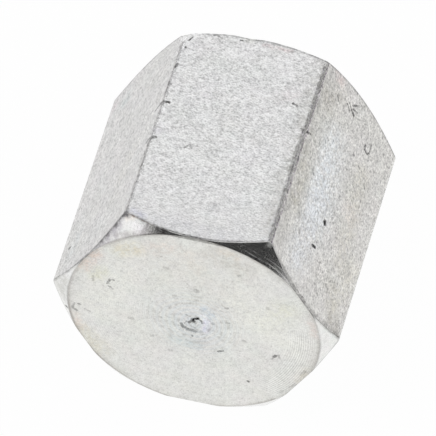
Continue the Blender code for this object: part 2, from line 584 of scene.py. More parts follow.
def use(group, vector, **inputs):
    node = put(vector.tree, "ShaderNodeGroup", {"Vector": vector}, node_tree=group)
    for label, value in inputs.items():
        plug(node.inputs[label], value)
    results = [Wire(output) for output in node.outputs]
    return results if len(results) > 1 else results[0]


def grainRule(vector, size, spread):  # pebbled plating: heights about the middle, and masks of pits and tops
    broadShare, mediumShare, fineShare = grainForm["shares"]
    broad = noise(vector, spread, detail=3.0, roughness=0.7)
    mediumPlace = vectors("ADD", vector, grainForm["medium's shift"])
    medium = noise(mediumPlace, size * grainForm["medium's size"], detail=1.0)
    fine = noise(vectors("ADD", vector, grainForm["fine's shift"]), size, detail=1.0)
    height = broad * broadShare + medium * mediumShare + fine * fineShare
    pits, tops = ramp(height, *grainForm["pits"]), ramp(height, *grainForm["tops"])
    return {"Height": height, "Pits": pits, "Tops": tops}


def tintRule(vector, size, strength):  # faint clouds of colour in the plating, to be multiplied in
    clouds = noise(vector, size, detail=2.0, roughness=0.6, output="Color")
    shifted = vectors("SUBTRACT", clouds, greyMiddle)
    return {"Tint": vectors("ADD", scaled(shifted, strength), Vector((1, 1, 1)))}


def specksRule(vector, spacing, size, share):  # small dark specks strewn at random
    cells = put(vector.tree, "ShaderNodeTexVoronoi", {"Vector": vector, "Scale": 1 / spacing})
    kept = maths("LESS_THAN", separated(Wire(cells.outputs["Color"]))[0], share)
    near = ramp(Wire(cells.outputs["Distance"]) * spacing, size, size * speckCore)
    return {"Mask": near * kept}


def strokeRule(vector, start, end, width, core):  # one mark or patch along a short line
    run = vectors("SUBTRACT", end, start)
    offset = vectors("SUBTRACT", vector, start)
    share = vectors("DOT_PRODUCT", offset, run, output="Value")
    share = clamped(share / vectors("DOT_PRODUCT", run, run, output="Value"), 0, 1)
    distance = vectors("DISTANCE", offset, scaled(run, share), output="Value")
    return {"Mask": ramp(distance, width, width * core)}


def ringsRule(vector, radius, pitch, wander):  # the feed lines of a turned face, from 0 to 1
    shift = (noise(vector, wanderSize, detail=1.0) - noiseMiddle) * wander
    return {"Height": sine((radius / pitch + shift) * math.tau) * 0.5 + 0.5}


def blotchesRule(vector, size, low, high, weak, strong, detail, roughness):  # soft blotches, weak to strong
    return {"Mask": ramp(noise(vector, size, detail, roughness), low, high, weak, strong)}


def rimRule(vector, width):  # a soft line along the rim of the closed face
    x, y, z = separated(vector)
    x = x - capSizes["Rim offset across"]
    z = z - axisHeight - capSizes["Rim offset up"]
    gap = maths("ABSOLUTE", maths("SQRT", x * x + z * z) - capSizes["Closed rim radius"])
    return {"Mask": ramp(gap, width, 0)}


def unevenRule(vector, size, reach):  # the same place, moved a little, so that what is drawn there is ragged
    drift = vectors("SUBTRACT", noise(vector, size, detail=1.0, output="Color"), greyMiddle)
    return {"Place": vectors("ADD", vector, scaled(drift, reach))}


grain = nodeGroup("platingGrain", grainRule, Size=0.2 * mm, Spread=1.0 * mm)
tint = nodeGroup("platingTint", tintRule, Size=3.0 * mm, Strength=0.05)
specks = nodeGroup("darkSpecks", specksRule, Spacing=1.2 * mm, Size=0.06 * mm, Share=0.4)
stroke = nodeGroup("stroke", strokeRule, From=Vector(), To=Vector((0, mm, 0)), Width=0.05 * mm, Core=0.3)
rings = nodeGroup("feedLines", ringsRule, Radius=1.0, Pitch=0.16 * mm, Wander=0.5)
rim = nodeGroup("closedRim", rimRule, Width=0.2 * mm)
uneven = nodeGroup("uneven", unevenRule, Size=0.2 * mm, Reach=0.15 * mm)
blotches = nodeGroup(
    "blotches", blotchesRule, Size=mm, Low=0.4, High=0.6, Weak=0.0, Strong=1.0, Detail=2.0, Roughness=0.5
)


# Finishes

bumpUnit = 0.001 * mm
flatStart = (9.36 * mm, 9.46 * mm)  # how far out a flat's own finish begins and is whole

markForm = {
    "core": 0.45,
    "breaks": {"Size": 0.16 * mm, "Low": 0.36, "High": 0.54, "Weak": 0.55, "Detail": 1.0},
}

patchMottle = {"Size": 0.5 * mm, "Low": 0.36, "High": 0.62, "Weak": 0.25, "Detail": 3.0, "Roughness": 0.7}


def startMaterial(name):
    material = bpy.data.materials.new(name)
    material.use_nodes = True
    tree = material.node_tree
    shader = tree.nodes["Principled BSDF"]
    shader.inputs["Metallic"].default_value = 1.0
    place = Wire(put(tree, "ShaderNodeTexCoord").outputs["Object"])
    return material, shader, place


def setSurface(shader, colour, roughness, height):  # height in thousandths of a millimetre
    plug(shader.inputs["Base Color"], colour)
    plug(shader.inputs["Roughness"], roughness)
    bump = put(colour.tree, "ShaderNodeBump", {"Height": height, "Distance": bumpUnit, "Strength": 1.0})
    plug(shader.inputs["Normal"], Wire(bump.outputs["Normal"]))
    arrange(colour.tree)


def axisRadius(place):
    x, y, z = separated(place)
    z = z - axisHeight
    return maths("SQRT", x * x + z * z)


def onFlatMask(place, turn):  # from how far out a point lies in the direction of a flat
    angle = math.radians(turn)
    fromAxis = vectors("SUBTRACT", place, Vector((0, 0, axisHeight)))
    outwards = Vector((math.sin(angle), 0, math.cos(angle)))
    return ramp(vectors("DOT_PRODUCT", fromAxis, outwards, output="Value"), *flatStart)


def onClosedEnd(place):
    return maths("LESS_THAN", separated(place)[1], 0)


def attribute(tree, name):
    return Wire(put(tree, "ShaderNodeAttribute", attribute_name=name).outputs["Fac"])


def flattened(place):  # brought forward to the plane of the closed face
    x, y, z = separated(place)
    return combined(place.tree, x, lowCorner.y, z)


def tinted(colour, place, values):
    return blended(1.0, colour, use(tint, place, **values["tint"]), "MULTIPLY")


def strokeMask(place, locate, first, second, width, core=0):  # width in mm, and ends as locate takes them
    return use(stroke, place, From=locate(*first), To=locate(*second), Width=width * mm, Core=core)


def strongest(place, locate, strokes, core=0):  # of some soft strokes, each with its own strength
    total = 0
    for first, second, width, strength in strokes:
        total = most(strokeMask(place, locate, first, second, width, core) * strength, total)
    return total


def marked(place, locate, marks):  # ragged strokes: both ends, width, strength
    return strongest(place, locate, marks, markForm["core"]) * use(blotches, place, **markForm["breaks"])


def patched(colour, place, locate, patches):  # mottled patches of colour, among them painted highlights and painted shade: both ends, width, sRGB, strength
    mottle = use(blotches, place, **patchMottle)
    for first, second, width, shade, strength in patches:
        share = strokeMask(place, locate, first, second, width) * mottle * strength
        colour = blended(share, colour, paint(*shade))
    return colour


topMarks = [  # on the top flat: across and along in mm
    ((-2.8, -1.8), (-2.5, -1.4), 0.13, 0.55),
    ((-2.5, -1.4), (-2.3, -1.7), 0.12, 0.5),
    ((-3.2, -0.4), (-2.9, -0.5), 0.12, 0.3),
    ((3.9, 4.4), (4.3, 4.2), 0.11, 0.95),
    ((5.05, 2.2), (5.3, 2.1), 0.12, 0.75),
    ((5.2, 2.15), (5.6, 2.0), 0.14, 1.1),
    # painted shade: long dark lines along the edge with the right flat, for the dark that the rounded edge
    # reflects
    ((5.4, 8.4), (5.32, 0.8), 0.22, 0.42),
    ((5.22, 0.6), (5.3, -4.0), 0.20, 0.45),
    ((5.3, -4.0), (5.35, -9.0), 0.20, 0.4),
    ((-5.3, 5.95), (-5.6, 5.4), 0.16, 0.95),
    ((-5.7, 4.1), (-5.3, 4.0), 0.15, 0.8),
    ((-5.5, 4.0), (-5.8, 3.5), 0.15, 0.9),
    ((-5.7, 2.4), (-5.3, 2.2), 0.16, 1.1),
    ((-5.35, 2.25), (-4.95, 2.15), 0.14, 1.1),
    ((-5.4, 2.1), (-5.65, 1.6), 0.16, 1.0),
    ((-5.6, -1.25), (-5.1, -1.35), 0.14, 1.0),
    ((-5.4, -1.35), (-5.6, -2.1), 0.16, 1.0),
    # painted shade: a long dark line along the left edge
    ((-5.55, 5.0), (-5.6, -4.2), 0.13, 0.4),
    ((-5.65, -3.2), (-5.7, -4.6), 0.15, 0.9),
    ((-5.1, 7.7), (-5.1, 7.7), 0.13, 1.0),
    ((-5.08, 8.4), (-4.82, 8.82), 0.09, 1.0),
    ((-3.35, 9.4), (-2.95, 9.42), 0.10, 0.8),
    ((-1.3, 9.5), (-0.7, 9.48), 0.13, 1.1),
    ((1.0, 9.7), (2.6, 9.6), 0.10, 0.5),
    # painted shade: dark lines and a dark corner along the arc at the closed end, where the narrow chamfer
    # reflects dark
    ((-5.55, -9.1), (-5.2, -9.15), 0.30, 0.75),
    ((-5.2, -9.15), (-3.9, -9.5), 0.13, 0.6),
    ((-3.9, -9.5), (-2.4, -9.8), 0.20, 0.9),
    ((-2.4, -9.8), (-1.2, -9.95), 0.20, 1.1),
    ((-1.2, -9.95), (1.8, -9.97), 0.16, 1.1),
    ((4.0, 8.0), (4.1, 8.0), 0.22, 0.3),
    ((-3.1, -7.6), (-2.9, -7.6), 0.24, 0.25),
    ((-5.45, -9.0), (-5.5, -8.5), 0.26, 0.55),
]

rightMarks = [  # on the flat to the right of it
    # painted shade: dark lines along the arc at the closed end
    ((-5.4, -9.0), (-3.4, -9.4), 0.16, 0.35),
    ((-3.4, -9.4), (-1.6, -9.75), 0.17, 0.5),
    ((-1.6, -9.75), (0.2, -9.87), 0.20, 0.65),
    ((-0.2, -9.75), (-0.1, -9.7), 0.17, 0.7),
    ((0.2, -9.85), (2.0, -9.8), 0.30, 0.42),
    ((2.0, -9.8), (4.9, -9.15), 0.44, 0.24),
    ((-5.6, 1.95), (-5.25, 2.1), 0.13, 0.95),
    ((-5.25, 2.1), (-4.85, 2.3), 0.12, 0.95),
    # painted shade: a faint line along the edge with the top flat
    ((-5.5, 7.0), (-5.5, 0.8), 0.15, 0.15),
    ((-0.3, -2.4), (-0.2, -2.5), 0.27, 1.2),
    ((-0.85, -5.2), (-0.5, -5.1), 0.17, 1.25),
    ((-0.95, -5.3), (-0.7, -5.15), 0.12, 0.6),
    ((1.5, 6.9), (1.6, 6.5), 0.11, 1.0),
    ((1.6, 6.5), (2.0, 6.4), 0.11, 1.0),
    ((2.0, 6.4), (2.25, 6.7), 0.11, 1.05),
    ((2.25, 6.7), (2.2, 7.5), 0.10, 0.8),
    ((1.9, 7.3), (2.2, 7.6), 0.09, 0.4),
    ((-1.9, 8.0), (-1.4, 7.7), 0.12, 0.9),
    ((-1.7, 8.3), (-1.2, 8.0), 0.10, 0.8),
    ((-1.2, 8.0), (-0.8, 7.8), 0.16, 0.95),
    ((-1.2, 8.45), (-0.7, 8.85), 0.12, 0.75),
    ((-1.05, 8.2), (-0.5, 8.35), 0.12, 0.85),
    ((-0.3, 7.9), (0.2, 8.2), 0.10, 0.4),
    ((0.8, 7.0), (0.8, 7.2), 0.12, 0.4),
    ((0.5, 5.0), (0.6, 5.1), 0.15, 0.6),
    ((3.9, 7.9), (3.9, 8.0), 0.14, 0.55),
    ((2.8, 3.9), (2.9, 3.8), 0.14, 0.6),
    ((-3.3, -0.1), (-3.2, -0.2), 0.17, 0.55),
    ((0.35, 0.9), (0.4, 0.8), 0.12, 0.5),
    ((-3.4, -4.2), (-3.4, -4.3), 0.15, 0.5),
    ((-2.75, -5.5), (-2.7, -5.6), 0.15, 0.5),
    ((0.4, -1.4), (0.4, -1.5), 0.12, 0.6),
    ((0.7, -1.6), (0.7, -1.7), 0.10, 0.45),
    ((-3.3, 7.6), (-3.0, 7.3), 0.14, 0.6),
    ((1.6, 4.7), (1.7, 4.7), 0.12, 0.4),
    ((-3.6, 2.6), (-3.5, 2.4), 0.14, 0.45),
    ((2.0, -6.6), (2.1, -6.7), 0.14, 0.45),
    ((1.2, -8.0), (1.4, -8.1), 0.14, 0.5),
]

leftMarks = [  # on the flat to the left
    # painted shade: dark lines along the arc at the closed end
    ((-4.8, -9.2), (-2.0, -9.85), 0.20, 0.5),
    ((-2.0, -9.9), (0.2, -9.95), 0.28, 1.0),
    ((0.2, -9.95), (2.0, -9.85), 0.20, 0.75),
    ((2.0, -9.82), (3.2, -9.5), 0.20, 0.8),
    ((3.2, -9.5), (4.3, -9.22), 0.24, 0.65),
    ((4.3, -9.22), (5.5, -8.85), 0.30, 0.75),
    # painted shade: a faint line along the edge
    ((5.4, 8.0), (5.4, -8.0), 0.14, 0.22),
    ((5.5, 2.25), (4.7, 1.7), 0.15, 0.9),
    ((5.5, -1.3), (4.95, -1.7), 0.14, 0.85),
    ((5.45, 4.2), (5.4, 4.0), 0.15, 0.8),
    ((5.45, 3.7), (5.38, 3.1), 0.14, 0.65),
    ((5.1, -3.3), (5.1, -3.4), 0.12, 0.5),
    ((5.5, -3.9), (5.42, -4.3), 0.14, 0.6),
    ((-4.1, -6.6), (-4.0, -6.6), 0.18, 1.25),
    ((-2.4, 4.9), (-1.8, 5.1), 0.10, 0.55),
    ((-2.7, 6.5), (-2.7, 6.6), 0.12, 0.5),
    ((1.3, 3.7), (1.4, 3.8), 0.13, 0.45),
    ((4.9, -1.6), (5.1, -1.8), 0.12, 0.6),
    ((0.4, -2.6), (0.5, -2.5), 0.14, 0.35),
    ((-1.2, 0.6), (-1.2, 0.8), 0.14, 0.35),
]

faceMarksAndShade = [  # on the closed face: across and up in mm
    # painted shadow on the dark side of the pip
    ((-0.3, -0.3), (0.0, 0.1), 0.13, 0.8),
    ((0.0, 0.1), (0.4, 0.35), 0.20, 1.25),
    ((0.4, 0.35), (0.65, 0.1), 0.13, 0.85),
    ((0.65, 0.1), (0.75, -0.15), 0.11, 0.7),
    ((-0.5, 0.5), (-0.2, 0.4), 0.10, 0.5),
    # painted shade in the swirl's groove
    ((-0.85, -0.65), (-0.7, -0.9), 0.20, 0.7),
    ((-0.7, -0.95), (-0.4, -1.1), 0.27, 0.75),
    ((-0.4, -1.15), (0.2, -1.2), 0.25, 0.6),
    ((0.2, -1.2), (0.7, -1.15), 0.22, 0.32),
    ((-0.6, -0.5), (-0.45, -0.2), 0.10, 0.5),
    ((0.1, -0.6), (0.2, -0.9), 0.10, 0.35),
    ((0.0, -1.8), (0.0, -1.8), 0.13, 0.8),
    ((0.1, -2.5), (1.2, -2.2), 0.20, 0.2),
    ((1.5, 0.1), (1.6, 0.1), 0.20, 0.35),
    ((2.6, 0.5), (2.8, 0.5), 0.17, 0.35),
    ((2.5, 2.2), (2.6, 2.2), 0.19, 0.45),
    ((0.2, 3.5), (0.3, 3.5), 0.30, 0.35),
    ((2.0, -3.0), (2.35, -2.8), 0.13, 0.75),
    ((3.9, -1.2), (4.0, -1.2), 0.16, 0.4),
    ((-1.7, -4.0), (-1.6, -4.0), 0.20, 0.35),
    ((-3.1, -2.7), (-3.0, -2.7), 0.20, 0.35),
    ((-2.5, -0.4), (-2.4, -0.4), 0.18, 0.25),
    ((-6.5, 2.3), (-6.3, 2.8), 0.13, 0.75),
    ((-6.3, 2.8), (-6.0, 2.8), 0.12, 0.65),
    ((-6.4, 2.0), (-6.1, 1.8), 0.12, 0.6),
    ((4.3, -5.8), (4.35, -5.8), 0.14, 0.85),
    ((6.05, -2.65), (6.2, -2.4), 0.11, 0.5),
    ((6.2, -2.35), (6.35, -2.15), 0.17, 0.75),
    ((6.35, -2.15), (6.6, -2.0), 0.11, 0.5),
    ((6.6, -2.0), (6.65, -2.35), 0.10, 0.4),
    ((-9.0, -0.75), (-9.15, -1.3), 0.12, 0.45),
    ((-9.15, -1.3), (-8.8, -1.55), 0.13, 0.5),
    ((-2.2, 9.35), (2.2, 9.3), 0.20, 0.6),
    ((7.5, -5.5), (7.9, -5.0), 0.15, 0.28),
    ((8.3, -3.8), (8.6, -3.3), 0.17, 0.3),
    ((6.8, -6.3), (7.0, -6.1), 0.15, 0.28),
    ((-8.65, -0.75), (-8.6, -0.8), 0.15, 0.7),
    ((-8.2, -1.2), (-7.8, -1.35), 0.10, 0.35),
    ((-4.75, -1.2), (-4.6, -1.2), 0.22, 0.3),
    ((-7.6, 2.3), (-7.6, 2.8), 0.14, 0.35),
    ((3.4, 6.2), (3.5, 6.2), 0.18, 0.3),
    ((-2.2, 5.4), (-2.0, 5.4), 0.20, 0.25),
    ((5.6, 3.2), (5.7, 3.1), 0.18, 0.25),
]

rimMarks = [  # where the rim's line is darker
    ((-9.5, -1.2), (-7.0, -6.6), 1.4, 0.6),
    ((-7.0, -6.6), (-2.0, -9.3), 1.2, 0.45),
    ((-9.2, 2.4), (-7.0, 5.4), 1.2, 0.3),
    ((6.8, 6.7), (9.2, 3.4), 1.2, 0.3),
    ((-2.0, -9.7), (6.0, -7.6), 1.4, 0.45),
    ((4.0, -8.8), (8.0, -5.2), 1.2, 0.25),
    ((-3.5, 9.0), (3.5, 9.0), 1.0, 0.3),
    ((-9.6, -0.6), (-9.1, 3.0), 0.8, 0.35),
    ((-6.0, 7.5), (-3.4, 9.0), 0.9, 0.4),
]

topPatchesAndHighlight = [  # across and along, width in mm, sRGB colour, strength
    ((-5.2, -0.9), (-5.1, -0.3), 0.7, (236, 233, 240), 0.6),
    # painted highlight: the white glint of the knocked corner's facet
    ((-5.45, 8.85), (-4.9, 9.25), 0.8, (255, 255, 255), 4.0),
    ((-5.0, -8.7), (-4.2, -8.9), 0.6, (210, 211, 222), 0.9),
    ((0.5, 9.4), (2.6, 9.3), 0.35, (200, 176, 178), 0.5),
    ((3.0, 4.8), (3.8, 5.2), 1.4, (226, 214, 218), 0.3),
    ((-3.0, -9.0), (3.0, -9.3), 1.2, (214, 214, 218), 0.5),
]

rightPatchesAndShade = [
    # painted shade: the darker, warmer band along the edge with the top flat
    ((-4.9, 8.0), (-4.9, -7.5), 2.2, (192, 191, 186), 0.9),
    ((-3.6, 5.6), (-4.2, 1.0), 1.8, (198, 195, 183), 0.6),
    ((-4.0, -0.6), (-4.0, -3.6), 1.6, (186, 182, 168), 0.7),
    ((-4.2, 6.6), (-3.0, 8.0), 1.5, (196, 193, 184), 0.6),
    ((-2.3, 3.6), (-1.7, -2.6), 3.4, (228, 233, 235), 0.7),
    ((-1.9, 1.4), (-1.8, -2.6), 1.6, (234, 241, 246), 0.4),
    ((3.6, -8.6), (4.9, -8.9), 0.9, (172, 170, 166), 0.8),
    ((-1.5, -1.4), (-2.2, -7.6), 2.4, (223, 226, 229), 0.7),
    ((2.0, 0.4), (2.0, 0.6), 1.4, (222, 210, 206), 0.4),
    ((-3.8, 9.1), (-3.4, 9.1), 0.9, (214, 194, 190), 0.5),
    ((2.2, 4.4), (2.8, -3.6), 1.8, (208, 204, 190), 0.45),
    ((5.2, 6.0), (4.6, -5.0), 1.0, (224, 223, 218), 0.5),
    ((2.8, -6.4), (4.0, -8.6), 1.6, (200, 197, 188), 0.6),
    ((4.6, -3.0), (3.6, -7.6), 1.6, (219, 216, 203), 0.5),
]

leftPatches = [
    ((-2.7, 7.4), (-2.7, 7.5), 1.3, (196, 212, 214), 0.4),
    ((-4.7, 8.1), (-4.7, 8.2), 0.9, (222, 206, 210), 0.4),
    ((1.5, 6.0), (1.0, 2.0), 1.4, (206, 205, 203), 0.4),
    ((2.6, -1.0), (2.0, -5.0), 1.4, (218, 216, 210), 0.4),
    ((-3.4, -7.4), (-3.0, -6.0), 1.2, (200, 208, 210), 0.4),
]

facePatchesAndHighlight = [
    ((-8.3, 3.6), (-7.3, 5.6), 0.9, (232, 214, 202), 0.7),
    ((-5.4, 6.4), (-4.4, 6.9), 1.3, (224, 216, 192), 0.7),
    ((-7.4, 2.8), (-6.9, 3.6), 1.0, (218, 218, 192), 0.6),
    ((-2.8, 7.5), (-1.8, 7.9), 1.4, (228, 216, 208), 0.55),
    ((-8.9, -2.2), (-8.5, -3.3), 0.8, (230, 214, 204), 0.55),
    ((-8.3, -3.8), (-7.0, -5.6), 1.5, (219, 214, 196), 0.55),
    ((1.4, 7.9), (3.8, 7.0), 1.6, (206, 203, 196), 0.7),
    ((-0.4, 7.4), (0.4, 6.0), 1.2, (232, 222, 212), 0.35),
    ((2.1, 8.6), (3.2, 8.3), 0.7, (226, 212, 192), 0.4),
    ((9.0, 2.3), (9.3, 1.0), 0.7, (228, 208, 200), 0.4),
    ((5.3, 1.3), (7.0, 3.3), 1.8, (218, 219, 196), 0.4),
    ((8.7, -3.3), (8.2, -4.4), 0.8, (214, 208, 190), 0.5),
    ((6.9, -3.8), (8.6, -0.6), 1.6, (212, 212, 208), 0.5),
    ((3.4, 3.0), (7.4, -0.4), 2.6, (239, 239, 232), 0.7),
    ((-7.4, -0.6), (-5.0, 4.4), 2.4, (237, 237, 230), 0.55),
    ((-2.0, 5.6), (2.4, 4.6), 3.0, (222, 220, 213), 0.5),
    ((0.1, -0.3), (0.3, -0.6), 2.6, (218, 222, 226), 0.5),
    ((-1.2, -2.6), (0.4, -2.9), 0.8, (194, 208, 212), 0.5),
    # painted highlight: the pale crescent on the lit side of the pip
    ((0.9, 1.6), (1.4, 0.9), 0.6, (208, 220, 230), 0.8),
    ((0.8, 0.7), (1.1, 0.1), 0.45, (252, 253, 255), 1.6),
    ((1.1, 0.1), (0.9, -0.9), 0.5, (230, 228, 244), 1.0),
    ((0.2, -0.4), (0.4, -0.8), 0.5, (224, 226, 222), 0.7),
    ((-6.6, 2.5), (-6.5, 2.4), 0.2, (246, 246, 244), 0.7),
]

# on the closed chamfer, across and up in mm, width, sRGB, strength: painted highlights for its glint, painted
# shade where its reflection turns grey and dark, and along its outline
chamferHighlightsShadeAndPatches = [
    # painted highlight: the glint
    ((-4.7, 8.8), (-4.0, 8.9), 0.55, (255, 252, 255), 1.1),
    ((-5.3, 9.2), (-4.9, 9.4), 0.4, (255, 246, 238), 0.7),
    # painted shade: the grey parts of the glint's reflection, darkening into the tail
    ((-7.6, 6.3), (-6.3, 7.8), 0.9, (186, 183, 187), 1.4),
    ((-6.2, 7.9), (-5.8, 8.8), 0.6, (200, 197, 202), 1.2),
    ((-3.5, 9.1), (-2.8, 9.3), 0.55, (172, 169, 167), 0.9),
    ((-2.75, 9.3), (-2.25, 9.4), 0.38, (146, 143, 142), 1.5),
    ((-3.9, 8.9), (-3.6, 9.3), 0.25, (196, 192, 194), 0.9),
    ((-5.9, 7.8), (-3.4, 9.0), 0.3, (192, 188, 188), 0.8),
    # painted shade along the outline and at the corner
    ((-7.2, 6.5), (-6.1, 8.45), 0.3, (142, 140, 141), 1.1),
    ((-6.1, 8.45), (-5.5, 9.5), 0.36, (128, 126, 128), 1.3),
    ((-5.5, 9.4), (-5.2, 9.4), 0.36, (124, 122, 124), 1.3),
    ((-9.64, -1.6), (-9.64, -1.6), 0.20, (70, 66, 64), 1.6),
    ((-5.2, 9.5), (-3.2, 9.55), 0.13, (150, 136, 128), 1.2),
    ((-10.0, 0.0), (-9.9, 0.9), 1.6, (214, 214, 210), 1.4),
]

dullPatches = [  # where a chamfer is rougher
    ((5.45, 9.3), (5.5, 9.4), 0.4, 0.22),
    ((6.9, 7.4), (7.4, 6.8), 0.35, 0.06),
]

feedPatches = [  # where the feed lines of the closed face show
    ((8.4, 0.2), (7.9, -3.0), 1.7, 0.9),
    ((7.9, -3.0), (6.4, -5.8), 1.7, 1.0),
    ((9.3, 0.4), (7.6, -5.4), 0.6, 0.5),
    ((-7.0, -4.0), (-3.6, -7.4), 1.6, 0.3),
    ((2.0, -6.6), (4.6, -5.2), 2.0, 0.3),
]

calmPatches = {  # where the grain of a flat is weaker, by the turn of the flat
    0: [((-4.6, -9.0), (4.6, -9.0), 5.0, 0.4)],
    60: [((4.6, 7.0), (3.6, -8.0), 3.0, 0.15), ((-1.0, -8.6), (4.0, -8.0), 2.4, 0.3)],
}

clearPatches = [((-5.5, 9.0), (-4.8, 9.6), 1.1, 2.0)]  # on the top flat, where no line follows its outline

flats = {  # each flat: its colour, painted lighter or darker as painted light and shade for how the light falls on that side; then the contrast of its grain and how far that grain is drawn out
    0: (paint(234, 234, 234), 1.95, (0.8, 1, 1, 1)),
    60: (paint(216, 215, 211), 2.5, (1, 0.65, 1, 1)),
    -60: (paint(214, 213, 212), 2.4, (1, 0.7, 1, 1)),
}

skinValues = {
    "base": paint(220, 220, 217),
    "contrast": 1.8,
    "bump": 80,
    "roughness": 0.3,
    "rougher pits": 0.1,
    "darker pits": 0.05,
    "lighter tops": 0.04,
    "grain": {"Size": 0.11 * mm, "Spread": 0.8 * mm},
    "ragged": {"Size": 0.15 * mm, "Reach": 0.14 * mm},
    "tint": {"Size": 2.4 * mm, "Strength": 0.035},
    "specks": {"Spacing": 1.1 * mm, "Size": 0.11 * mm, "Share": 0.5},
    "speck strength": 0.25,
    "mark depth": 10,
    "mark darkness": 0.85,
    "corner shade line": {"Size": 0.5 * mm, "Low": 0.38, "High": 0.6, "Weak": 0.35, "Strong": 0.85},
    "edge patch size": 0.3 * mm,
    "edge patches": (0.5, 0.62),
    "edge nick and shade darkness": 0.35,
    "nicked and shaded edge": (0.1, 0.7),
    "wandering edge": (0, 0.4),
    "edge wander": 90,
    "smoother edge": (0, 0.3),
    "edge smoothness": 0.12,
}


def rolledSkin():
    material, shader, place = startMaterial("rolledSkin")
    values = skinValues
    ragged = use(uneven, place, **values["ragged"])
    colour, contrast, drawn = values["base"], values["contrast"], (1, 1, 1, 1)
    # each flat takes its own colour, with the painted light and shade of that side, and its own grain
    for turn, (flatShadedColour, flatContrast, flatDrawn) in flats.items():
        mask = onFlatMask(place, turn)
        colour = blended(mask, colour, flatShadedColour)
        contrast = contrast + (flatContrast - values["contrast"]) * mask
        drawn = blended(mask, drawn, flatDrawn)
    height, pits, tops = use(grain, vectors("MULTIPLY", place, drawn), **values["grain"])
    colour = tinted(colour, place, values)
    dark = use(specks, ragged, **values["specks"]) * values["speck strength"]
    sides = ((0, topPatchesAndHighlight, topMarks), (60, rightPatchesAndShade, rightMarks), (-60, leftPatches, leftMarks))
    for turn, patches, marks in sides:
        locate = partial(onFlat, turn)
        colour = patched(colour, ragged, locate, patches)
        dark = most(dark, marked(ragged, locate, marks))
        if turn in calmPatches:
            contrast = contrast * (1 - strongest(place, locate, calmPatches[turn]))

    # painted shade along the corners where the flats meet the chamfers
    line = attribute(place.tree, "cornerShadeLine") * use(blotches, place, **values["corner shade line"])
    line = line * (1 - strongest(place, partial(onFlat, 0), clearPatches))
    edge = attribute(place.tree, "edgeShare")
    edgePatches = noise(place, values["edge patch size"])
    # worn: dark dashes along the rounded edges, partly nicks and partly painted shade for the dark band that
    # the edges reflect
    worn = ramp(edgePatches, *values["edge patches"], 0, values["edge nick and shade darkness"])
    dark = most(most(dark, line), ramp(edge, *values["nicked and shaded edge"]) * worn)
    light = 1 - dark * values["mark darkness"] - pits * values["darker pits"] + tops * values["lighter tops"]
    light = (1 + (height - noiseMiddle) * contrast) * light
    relief = height * values["bump"] - dark * values["mark depth"]
    wander = (edgePatches - noiseMiddle) * ramp(edge, *values["wandering edge"])
    relief = relief + wander * values["edge wander"]
    roughness = values["roughness"] + pits * values["rougher pits"]
    roughness = roughness - ramp(edge, *values["smoother edge"]) * values["edge smoothness"]
    setSurface(shader, scaled(colour, light), roughness, relief)
    return material


def rimmed(colour, place, values):  # darkens the rim of the closed face, in some places more
    line = use(rim, flattened(place), Width=values["rim width"]) * onClosedEnd(place)
    share = strongest(flattened(place), onFace, rimMarks)
    share = most(share, use(blotches, place, **values["rim blotches"]))
    return blended(line * share, colour, values["rim colour"])


faceValues = {
    "base": paint(228, 228, 224),
    "contrast": 0.95,
    "bump": 12,
    "roughness": 0.32,
    "rougher pits": 0.1,
    "darker pits": 0.03,
    "grain": {"Size": 0.12 * mm, "Spread": 0.8 * mm},
    "ragged": {"Size": 0.15 * mm, "Reach": 0.14 * mm},
    "tint": {"Size": 2.0 * mm, "Strength": 0.05},
    "specks": {"Spacing": 0.9 * mm, "Size": 0.12 * mm, "Share": 0.45},
    "speck strength": 0.2,
    "mark depth": 6,
    "mark darkness": 0.85,
    "feed": {"Pitch": 0.165 * mm, "Wander": 0.4},
    "feed elsewhere": {"Size": 3.0 * mm, "Low": 0.5, "High": 0.65, "Strong": 0.25},
    "feed strength": 0.3,
    "feed height": 2,
    "circles": {"Pitch": 0.46 * mm, "Wander": 0.8},
    "circles' middle": (0.1, -0.3),
    "circles' reach": (5.0 * mm, 1.0 * mm),
    "circle strength": 0.4,
    "circle colour": paint(206, 214, 219),
    "between circles": {"Size": 0.5 * mm, "Low": 0.45, "High": 0.65, "Strong": 0.35},
    "rim width": 0.25 * mm,
    "rim colour": paint(128, 120, 112),
    "rim blotches": {"Size": 2.0 * mm, "Low": 0.4, "High": 0.6, "Weak": 0.12, "Strong": 0.3},
    "rim's shade width": 0.8 * mm,
    "rim's shade": {"Size": 1.4 * mm, "Low": 0.35, "High": 0.65, "Weak": 0.02, "Strong": 0.18},
}


def facedEnd():
    material, shader, place = startMaterial("facedEnd")
    values = faceValues
    forward, closedEnd = flattened(place), onClosedEnd(place)
    ragged = use(uneven, forward, **values["ragged"])
    height, pits, _ = use(grain, place, **values["grain"])
    colour = tinted(values["base"], place, values)
    colour = blended(closedEnd, colour, patched(colour, ragged, onFace, facePatchesAndHighlight))

    lines = use(rings, place, Radius=axisRadius(place), **values["feed"])
    shown = strongest(forward, onFace, feedPatches)
    shown = most(shown, use(blotches, place, **values["feed elsewhere"]))
    fromPip = vectors("DISTANCE", forward, onFace(*values["circles' middle"]), output="Value")
    circles = use(rings, place, Radius=fromPip, **values["circles"])
    circled = ramp(fromPip, *values["circles' reach"]) * closedEnd
    colour = blended(circles * circled * values["circle strength"], colour, values["circle colour"])

    dark = use(specks, ragged, **values["specks"]) * values["speck strength"]
    dark = most(dark, marked(ragged, onFace, faceMarksAndShade) * closedEnd)
    dark = most(dark, (1 - circles) * circled * use(blotches, place, **values["between circles"]))
    colour = rimmed(colour, place, values)
    rimShade = use(rim, forward, Width=values["rim's shade width"]) * closedEnd
    rimShade = rimShade * use(blotches, place, **values["rim's shade"])
    colour = blended(rimShade, colour, values["rim colour"])

    light = 1 - dark * values["mark darkness"] - pits * values["darker pits"]
    light = (1 + (height - noiseMiddle) * values["contrast"]) * light
    light = light * (1 - (lines - noiseMiddle) * shown * values["feed strength"])
    relief = height * values["bump"] + lines * shown * values["feed height"] - dark * values["mark depth"]
    setSurface(shader, scaled(colour, light), values["roughness"] + pits * values["rougher pits"], relief)
    return material


